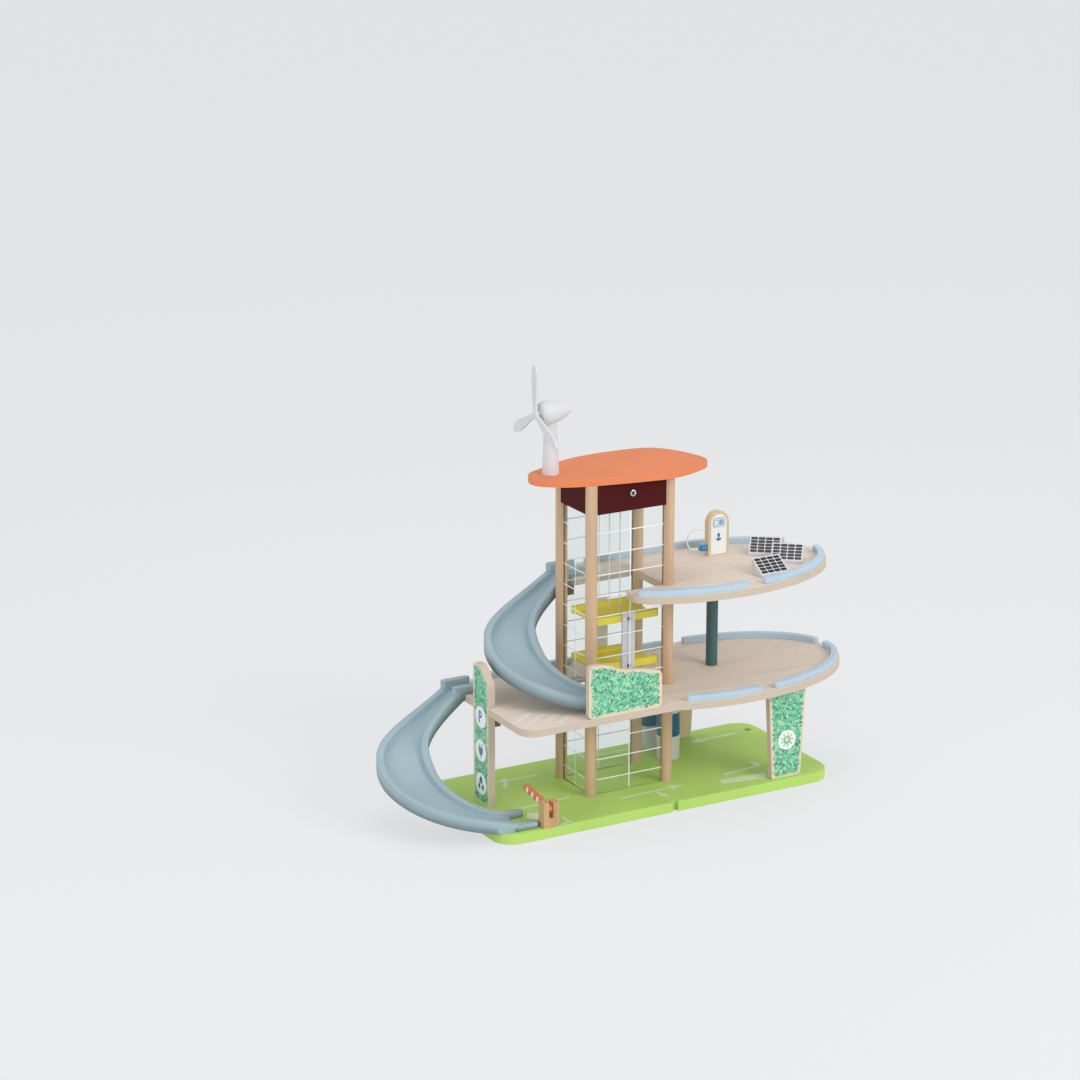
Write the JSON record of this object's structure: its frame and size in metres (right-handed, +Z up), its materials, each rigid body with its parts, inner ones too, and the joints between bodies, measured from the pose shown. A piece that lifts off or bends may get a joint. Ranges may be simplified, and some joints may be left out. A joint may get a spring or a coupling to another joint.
{
  "type": "toy parking garage with lift",
  "caption": "Wooden toy parking garage: two decks around a glazed lift tower, spiral ramps, crank-wound double lift, wind turbine, charger, solar panels, wash rollers and an exit barrier.",
  "frame": {"origin": "middle of the base board's underside, on the floor", "axes": "+X along the base towards the wash end, +Y to the back with the winch knob, +Z up"},
  "size_m": [0.682, 0.2465, 0.605],
  "materials": {
    "green_board": "painted, satin",
    "natural_dowel": "sanded, clear varnish",
    "plywood": "sanded plywood, clear varnish",
    "acrylic": "clear sheet with printed grid",
    "maroon_board": "painted, satin",
    "guard_blue": "painted, satin",
    "ramp_plastic": "moulded, semi-matte",
    "prop_paint": "painted, satin",
    "printed_board": "printed plywood, natural edge",
    "orange_board": "painted, satin",
    "white_paint": "painted, satin",
    "yellow_paint": "painted, satin",
    "solar_print": "white with printed black cells",
    "plug_blue": "painted, satin",
    "steel": "bright plated",
    "cord": "twisted cotton",
    "roller_paint": "painted in white and blue bands, satin"
  },
  "bodies": {
    "garage": {"base_left": "green_board", "base_right": "green_board", "post_front_left": "natural_dowel", "post_front_right": "natural_dowel", "post_back_right": "natural_dowel", "post_back_left": "natural_dowel", "barrier_post": "natural_dowel", "charger_body": "natural_dowel", "cleat_middle": "natural_dowel", "cleat_upper": "natural_dowel", "pane_front": "acrylic", "pane_back": "acrylic", "pane_left": "acrylic", "beam_front": "maroon_board", "beam_back": "maroon_board", "beam_left": "maroon_board", "beam_right": "maroon_board", "deck_middle": "plywood", "deck_upper": "plywood", "deck_prop": "prop_paint", "guard_upper_front": "guard_blue", "guard_upper_tip": "guard_blue", "guard_upper_right": "guard_blue", "guard_upper_back": "guard_blue", "guard_middle_front": "guard_blue", "guard_middle_tip": "guard_blue", "guard_middle_right": "guard_blue", "guard_middle_back": "guard_blue", "guard_middle_left": "guard_blue", "ramp_upper": "ramp_plastic", "ramp_lower": "ramp_plastic", "sign_front": "printed_board", "sign_parking": "printed_board", "wash_leg_front": "printed_board", "wash_leg_back": "printed_board", "turbine_mast": "white_paint", "turbine_nacelle": "white_paint", "charger_cord": "cord", "roof": "orange_board", "charger_plug": "plug_blue", "solar_panel_back": "solar_print", "solar_panel_mid": "solar_print", "solar_panel_front": "solar_print"},
    "lift": {"lift_tray_lower": "yellow_paint", "lift_tray_upper": "yellow_paint", "lift_side_front": "white_paint", "lift_side_back": "white_paint", "lift_cord_front": "cord", "lift_cord_back": "cord"},
    "winch": {"winch_shaft": "natural_dowel", "winch_knob": "natural_dowel", "winch_pivot": "steel"},
    "rotor": {"turbine_rotor": "white_paint"},
    "barrier": {"barrier_arm": "orange_board"},
    "roller_front": {"wash_roller_front": "roller_paint"},
    "roller_back": {"wash_roller_back": "roller_paint"}
  },
  "joints": [
    {"name": "lift_slide", "type": "slide", "parent": "garage", "child": "lift", "axis": [0, 0, 1], "range_m": [-0.168, 0.107], "deforming": ["lift_cord_front", "lift_cord_back"]},
    {"name": "winch_turn", "type": "hinge", "parent": "garage", "child": "winch", "pos_m": [-0.0234, 0.004, 0.43], "axis": [0, 1, 0], "range_deg": [-1120, 715]},
    {"name": "rotor_spin", "type": "hinge", "parent": "garage", "child": "rotor", "pos_m": [-0.138, 0.012, 0.539], "axis": [1, 0, 0], "continuous": true},
    {"name": "barrier_swing", "type": "hinge", "parent": "garage", "child": "barrier", "pos_m": [-0.185, -0.1055, 0.039], "axis": [1, 0, 0], "range_deg": [-7.9, 82]},
    {"name": "roller_front_spin", "type": "hinge", "parent": "garage", "child": "roller_front", "pos_m": [0.084, 0.038, 0.079], "axis": [0, 0, 1], "continuous": true},
    {"name": "roller_back_spin", "type": "hinge", "parent": "garage", "child": "roller_back", "pos_m": [0.084, 0.088, 0.079], "axis": [0, 0, 1], "continuous": true}
  ],
  "couplings": [
    {"joint": "winch_turn", "follows": "lift_slide", "rad_per_m": 115.6}
  ]
}
